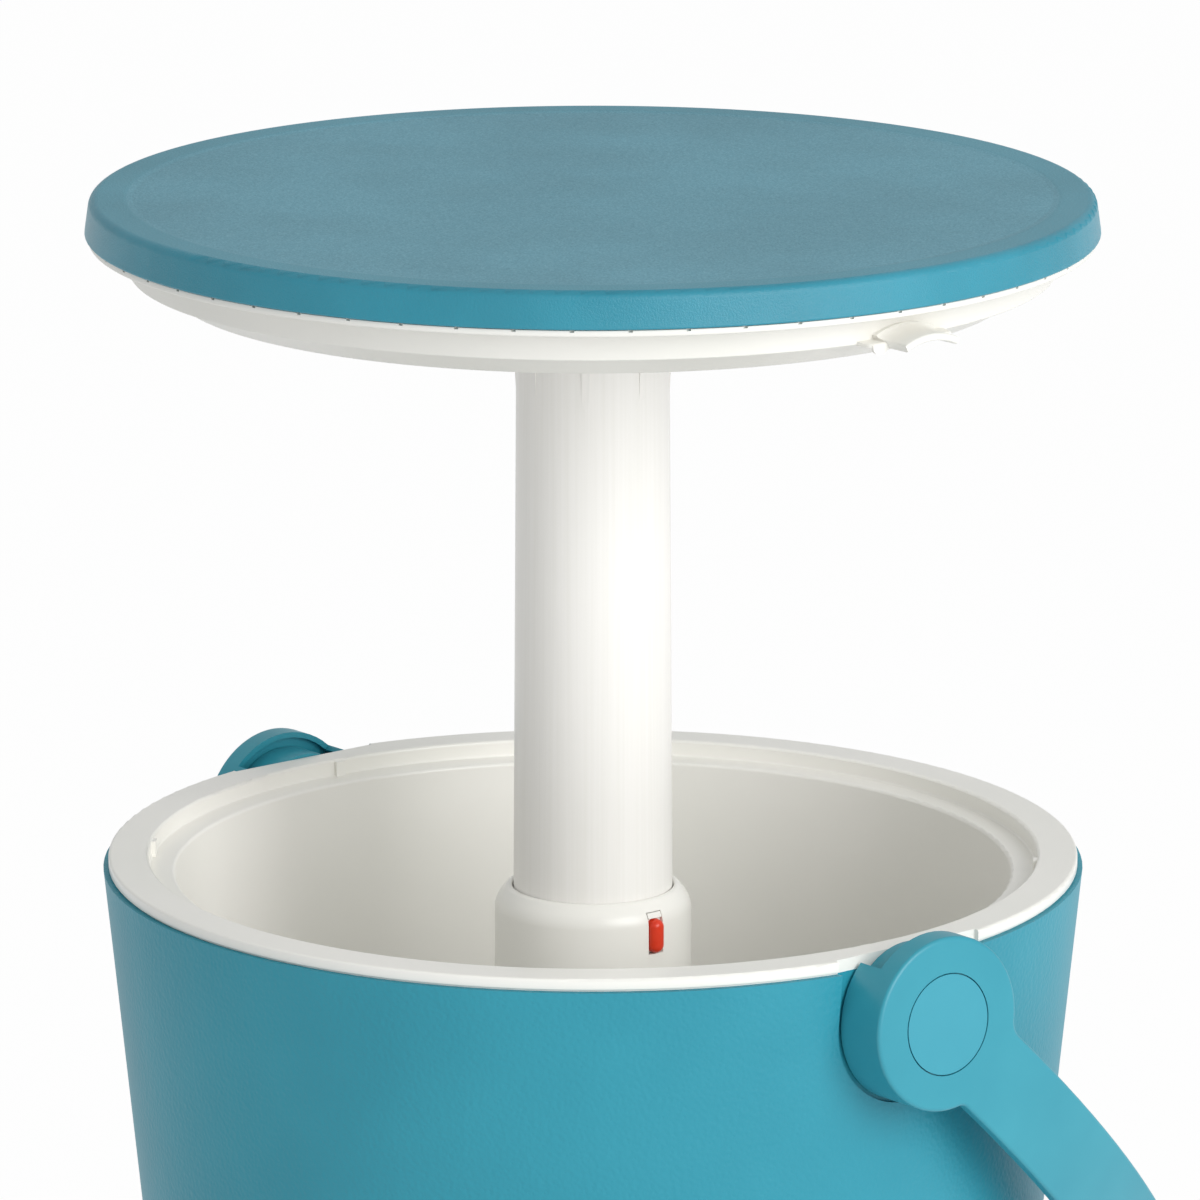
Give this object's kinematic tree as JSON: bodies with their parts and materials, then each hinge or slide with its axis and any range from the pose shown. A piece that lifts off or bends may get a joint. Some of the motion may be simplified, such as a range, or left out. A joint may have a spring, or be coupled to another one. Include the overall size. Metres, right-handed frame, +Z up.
{
  "type": "cooler table with lid",
  "caption": "Insulated drinks bucket with a carrying handle, whose round lid rises on a central column to make a small side table.",
  "frame": {"origin": "centre of the base on the floor", "axes": "+Z up along the column, +X towards the release button and the front handle pivot, +Y towards the side where the handle hangs"},
  "size_m": [0.3772, 0.3553, 0.5847],
  "materials": {
    "shell_plastic": "matte",
    "table_plastic": "matte",
    "handle_plastic": "satin",
    "liner_plastic": "gloss",
    "column_plastic": "satin",
    "nylon": "satin",
    "button_plastic": "satin",
    "foam": "matte",
    "rubber": "matte",
    "steel": "satin"
  },
  "bodies": {
    "bucket": {"outer_shell": "shell_plastic", "anti_slip_mat": "rubber", "inner_liner": "liner_plastic", "insulation_foam": "foam", "guide_tube": "liner_plastic", "tube_screws": "steel", "guide_bush": "nylon", "guide_collar": "liner_plastic", "pivot_hub_front": "handle_plastic", "pivot_hub_rear": "handle_plastic", "hub_screws": "steel", "pivot_washers": "steel", "pivot_screws": "steel"},
    "table": {"table_top": "table_plastic", "lid_tray": "liner_plastic", "lid_foam": "foam", "table_screws": "steel", "column": "column_plastic", "column_screws": "steel", "column_foot": "nylon", "foot_screws": "steel"},
    "handle": {"handle": "handle_plastic", "pivot_cap_front": "handle_plastic", "pivot_cap_rear": "handle_plastic"},
    "button": {"release_button": "button_plastic", "button_carrier": "liner_plastic", "latch_plate": "steel", "button_springs": "steel"}
  },
  "joints": [
    {"name": "table_lift", "type": "slide", "parent": "bucket", "child": "table", "axis": [0, 0, 1], "range_m": [-0.2083, 0]},
    {"name": "handle_swing", "type": "hinge", "parent": "bucket", "child": "handle", "pos_m": [0, 0, 0.3268], "axis": [1, 0, 0], "range_deg": [0, 110]},
    {"name": "button_press", "type": "slide", "parent": "bucket", "child": "button", "axis": [-1, 0, 0], "range_m": [0, 0.002], "stiffness_N_per_m": 900, "springref_m": -0.001, "deforming": ["button_springs"]}
  ]
}
